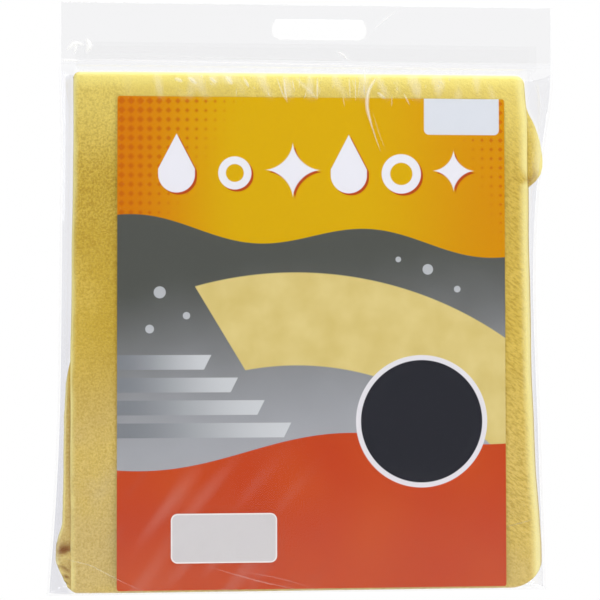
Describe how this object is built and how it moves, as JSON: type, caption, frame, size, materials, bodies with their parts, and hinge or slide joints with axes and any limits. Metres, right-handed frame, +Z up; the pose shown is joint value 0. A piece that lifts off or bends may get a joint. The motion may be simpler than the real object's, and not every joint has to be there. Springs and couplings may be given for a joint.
{
  "type": "packed chamois leather",
  "caption": "Soft yellow chamois leather, folded into a flat bundle with a printed insert card and a label, in a clear film header bag that hangs by its slot.",
  "frame": {"origin": "on the upper edge of the hang slot, above the middle of the bag, between the header's two plies", "axes": "+Z up towards the header's top edge, -Y out of the printed front, +X to the right of someone who faces the front"},
  "size_m": [0.3075, 0.0213, 0.3561],
  "materials": {
    "leather": "matte",
    "card": "satin",
    "label": "satin",
    "film": "gloss",
    "weld": "gloss",
    "adhesive": "satin"
  },
  "bodies": {
    "bag": {"bag_front_panel": "film", "bag_back_panel": "film", "header_back_ply": "film", "header_weld": "weld", "side_weld_left": "weld", "side_weld_right": "weld", "bottom_fold": "weld"},
    "flap": {"closing_flap": "film", "flap_adhesive_strip": "adhesive"},
    "skin": {"chamois_leather": "leather"},
    "card": {"insert_card": "card", "size_label": "label"}
  },
  "joints": [
    {"name": "flap_hinge", "type": "hinge", "parent": "bag", "child": "flap", "pos_m": [0, 0.02095, -0.03135], "axis": [-1, 0, 0], "range_deg": [0, 180]},
    {"name": "skin_slide", "type": "slide", "parent": "bag", "child": "skin", "axis": [0, 0, 1], "range_m": [0, 0.36], "deforming": ["chamois_leather", "closing_flap", "flap_adhesive_strip"]},
    {"name": "card_slide", "type": "slide", "parent": "bag", "child": "card", "axis": [0, 0, 1], "range_m": [0, 0.36], "deforming": ["closing_flap", "flap_adhesive_strip"]}
  ]
}
